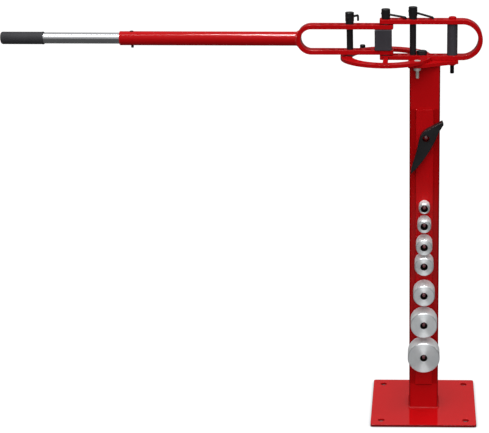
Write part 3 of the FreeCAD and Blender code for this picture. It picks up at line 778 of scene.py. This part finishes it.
# %% Dies
die_flat, hold = 0.0016, 0.0005
die_axis = (0.0, 1.0, 0.0)
for number in (76, 64, 51, 44, 38, 32, 25):
    node = f"die_{number}"
    low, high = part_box(node)
    radius, depth = (high.x - low.x) / 2, high.y - low.y
    start = Vector(((low.x + high.x) / 2, low.y, (low.z + high.z) / 2))
    bore_to_rim = [
        (bore_flat + hold, die_bore), (bore_flat, die_bore), (0.0, die_bore + bore_flat),
        (0.0, die_bore + bore_flat + hold), (0.0, radius - die_flat - hold),
        (0.0, radius - die_flat), (die_flat, radius), (die_flat + hold, radius)]
    rim_to_bore = [(depth - along, out) for along, out in reversed(bore_to_rim)]
    shape = turn_outline(bore_to_rim + rim_to_bore, start, die_axis, steps=96, rounding=0.00022)
    die = set_piece(shape, f"turned_die_{number}", body_of[node], slot_of[node])
    store_axis_distances(die.data, start, die_axis)
    die.data.materials.append(finishes["turned_rim"])
    for face in die.data.polygons:
        outside_bore = (face.center - start).xz.length > die_bore + bore_flat
        face.material_index = int(outside_bore and abs(face.normal.y) < 0.5)
    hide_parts(node)
    print(die.name, "radius in mm:", round(radius * 1000, 1))

# %% [markdown]
# The grip is a rubber sleeve with a closed, rounded end and a thin rolled lip where the tube
# enters. Its wall has an inside too, so the outline runs back along the bore.

# %% Grip
low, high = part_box("hand_grip")
length, radius = high.x - low.x, (high.z - low.z) / 2
start = Vector((low.x, (low.y + high.y) / 2, (low.z + high.z) / 2))
tube_low, tube_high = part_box("inner_tube")
bore = (tube_high.z - tube_low.z) / 2 + 0.00005
end_wall = tube_low.x - low.x
lip_height, lip_foot, lip_top, lip_round = 0.0003, 0.0052, 0.0040, 0.0010
sleeve = radius - lip_height
rounded_end = [(0.0, 0.0), (0.0, radius - 0.0035), (0.0011, radius - 0.0013), (0.0036, sleeve)]
rolled_lip = [(length - lip_foot, sleeve), (length - lip_top, radius),
              (length - lip_round, radius), (length, radius - lip_round)]
inside = [(length, bore), (end_wall, bore), (end_wall, 0.0)]
shape = turn_outline(rounded_end + rolled_lip + inside, start, (1.0, 0.0, 0.0), steps=72,
                     rounding=0.0004, closed=False)
grip = set_piece(shape, "rubber_grip", body_of["hand_grip"], slot_of["hand_grip"])
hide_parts("hand_grip")
print("grip in mm:", round(length * 1000), "long,", round(radius * 2000, 1), "across")

# %% [markdown]
# ## Threads
# The bolts end in threads below the plate. A thread is a ridge with a narrow crest that
# climbs a core: Spin with a step along the axis sweeps it. The CAD bolt is cut off at the
# nut, closed again, and gets a thinner core with the ridge on it, so the crests keep the
# bolt's size.

# %% Helpers: threaded end
def thread_below(shape, centre, top_z, bottom_z, radius, pitch):
    """Add a core and a ridge around the centre's x and y, and give back the turns."""
    steps = 18
    core_radius, foot_radius = radius - pitch * 0.55, radius - pitch * 0.55 - 0.0003
    half_foot, half_crest, run_out = pitch * 0.46, pitch * 0.06, pitch * 0.6
    length = top_z - bottom_z
    middle = Matrix.Translation((centre[0], centre[1], (top_z + bottom_z) / 2))
    bmesh.ops.create_cone(shape, cap_ends=True, segments=36, radius1=core_radius,
                          radius2=core_radius, depth=length, matrix=middle)
    base = Vector((centre[0], centre[1], bottom_z + run_out))
    corners = [(foot_radius, -half_foot), (radius, -half_crest),
               (radius, half_crest), (foot_radius, half_foot)]
    points = [shape.verts.new(base + Vector((out, 0.0, up))) for out, up in corners]
    ridge = shape.faces.new(points)
    turns = (length - 2 * run_out) / pitch
    count = int(steps * turns)
    bmesh.ops.spin(shape, geom=[ridge], cent=base, axis=(0.0, 0.0, 1.0),
                   dvec=(0.0, 0.0, pitch / steps), angle=math.tau * count / steps,
                   steps=count, use_merge=False)
    return turns


def cut_below(shape, cut_z):
    everything = shape.verts[:] + shape.edges[:] + shape.faces[:]
    bmesh.ops.bisect_plane(shape, geom=everything, plane_co=(0.0, 0.0, cut_z),
                           plane_no=(0.0, 0.0, -1.0), clear_outer=True)
    rim = [edge for edge in shape.edges if edge.is_boundary]
    bmesh.ops.holes_fill(shape, edges=rim, sides=0)


def threaded_copy(node, centres, nut_z, tip_z, radius, pitch):
    """A copy of the bolts whose shanks are threads from just inside the nut downwards."""
    shape = joined_copy(node)
    cut_below(shape, nut_z + 0.0010)
    for centre in centres:
        turns = thread_below(shape, centre, nut_z + 0.0012, tip_z, radius, pitch)
    bmesh.ops.recalc_face_normals(shape, faces=shape.faces)
    print(node, "turns of thread:", round(turns, 1))
    return shape


# %% [markdown]
# The spacer's bolt was sprayed with the frame, so its head above the upper arm is red while
# its end is black. The two ring bolts are zinc plated and stand in front of the post and
# behind it.

# %% Spacer bolt and ring bolts
low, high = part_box("spacer_bolt")
nut_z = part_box("spacer_nut")[0].z
shape = threaded_copy("spacer_bolt", [((low.x + high.x) / 2, 0.0)], nut_z, low.z,
                      radius=0.005, pitch=0.0015)
bolt = set_piece(shape, "black_spacer_bolt", body_of["spacer_bolt"], slot_of["spacer_bolt"])
bolt.data.materials.append(finishes["red_paint"])
bar_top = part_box("frame_bar")[1].z
for face in bolt.data.polygons:
    face.material_index = int(face.center.z > bar_top)
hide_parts("spacer_bolt")

low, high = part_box("ring_bolts")
nut_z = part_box("ring_nuts")[0].z
head_radius = (high.x - low.x) / 2
bolt_x, bolt_y = low.x + head_radius, high.y - head_radius
shape = threaded_copy("ring_bolts", [(bolt_x, -bolt_y), (bolt_x, bolt_y)], nut_z, low.z,
                      radius=0.004, pitch=0.00125)
bolts = set_piece(shape, "zinc_ring_bolts", body_of["ring_bolts"], slot_of["ring_bolts"])
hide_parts("ring_bolts")

# %% [markdown]
# ## Welds
# A weld cools as a row of small overlapping drops. Each drop is a flattened ball with few
# faces, set on the line of the weld, lying along it and leaning out of the corner. The paint
# covers them, so they take the red finish.

# %% Helper: bead of weld drops
weld_step = 0.0019


def weld_bead(name, body, spots, size):
    """spots holds places with the direction along the weld and the direction out of it.
    size holds half a drop's reach along the weld, across it and out of it."""
    shape = bmesh.new()
    for place, along, out in spots:
        across = out.cross(along).normalized()
        along = across.cross(out).normalized()
        axes = Matrix((along * size[0], across * size[1], out.normalized() * size[2])).transposed()
        matrix = Matrix.Translation(place) @ axes.to_4x4()
        bmesh.ops.create_uvsphere(shape, u_segments=10, v_segments=7, radius=1.0, matrix=matrix)
    return set_piece(shape, name, body, "red_paint", finish="weld_paint")


# %% [markdown]
# Two welds run around the square post, one on the base plate and one under the top plate.
# Their line has four straight stretches and four round corners. The drops lean out of the
# corner between post and plate, so the lower row leans up and the upper row leans down.

# %% Welds at both ends of the post
post_low, post_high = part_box("post_tube")
post_corner = 0.005


def around_post(grow, z, lean_z):
    """Spots at even steps on a line that lies grow outside the post's walls."""
    half, corner = post_high.x + grow, post_corner + grow
    straight, arc = 2 * (half - corner), corner * math.pi / 2
    count = round(4 * (straight + arc) / weld_step)
    for index in range(count):
        quarter, reach = divmod(index * 4 * (straight + arc) / count, straight + arc)
        angle = max(0.0, reach - straight) / corner
        side = Vector((math.cos(angle), math.sin(angle), 0.0))
        spot = Vector((half - corner, min(reach, straight) - straight / 2, z)) + side * corner
        turn = Matrix.Rotation(quarter * math.pi / 2, 3, "Z")
        side = turn @ side
        out = (side + Vector((0.0, 0.0, lean_z))).normalized()
        yield turn @ spot, Vector((0.0, 0.0, 1.0)).cross(side), out


foot_spots = list(around_post(0.0008, post_low.z + 0.0010, lean_z=1.0))
foot_bead = weld_bead("foot_weld_bead", "stand", foot_spots, size=(0.0019, 0.0030, 0.0019))
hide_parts("foot_weld")
top_spots = list(around_post(0.0004, post_high.z - 0.0006, lean_z=-1.0))
weld_bead("top_weld_bead", "stand", top_spots, size=(0.0019, 0.0022, 0.0014))
print("weld drops:", len(foot_spots), len(top_spots))

# %% [markdown]
# The handle tube is cut to fit the round back of its fork and welded all round. The line of
# this weld lies where two cylinders meet, so each spot is worked out from the two radii.

# %% Weld between the fork and the handle tube
fork_low, fork_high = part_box("fork_bar")
tube_low, tube_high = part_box("handle_tube")
bend_radius, tube_radius = (fork_high.z - fork_low.z) / 2, (tube_high.z - tube_low.z) / 2
bend_x, axis_z = fork_low.x + bend_radius, (fork_high.z + fork_low.z) / 2
lift, look_ahead = 0.0006, 0.05


def saddle_point(angle):
    """A point at the lift above both surfaces, at an angle around the tube."""
    up, side = (tube_radius + lift) * math.cos(angle), (tube_radius + lift) * math.sin(angle)
    return Vector((bend_x - math.sqrt((bend_radius + lift) ** 2 - up ** 2), side, axis_z + up))


count = round(math.tau * tube_radius / weld_step)
spots = []
for index in range(count):
    angle = math.tau * index / count
    place = saddle_point(angle)
    along = saddle_point(angle + look_ahead) - place
    from_bend = Vector((place.x - bend_x, 0.0, place.z - axis_z)).normalized()
    from_tube = Vector((0.0, math.sin(angle), math.cos(angle)))
    spots.append((place, along, (from_bend + from_tube).normalized()))
weld_bead("fork_weld_bead", "handle", spots, size=(0.0018, 0.0028, 0.0017))
print("saddle weld drops:", len(spots))

# %% [markdown]
# The picture is shown with plain colours.

# %% Plain colours
bpy.context.scene.view_settings.view_transform = "Standard"
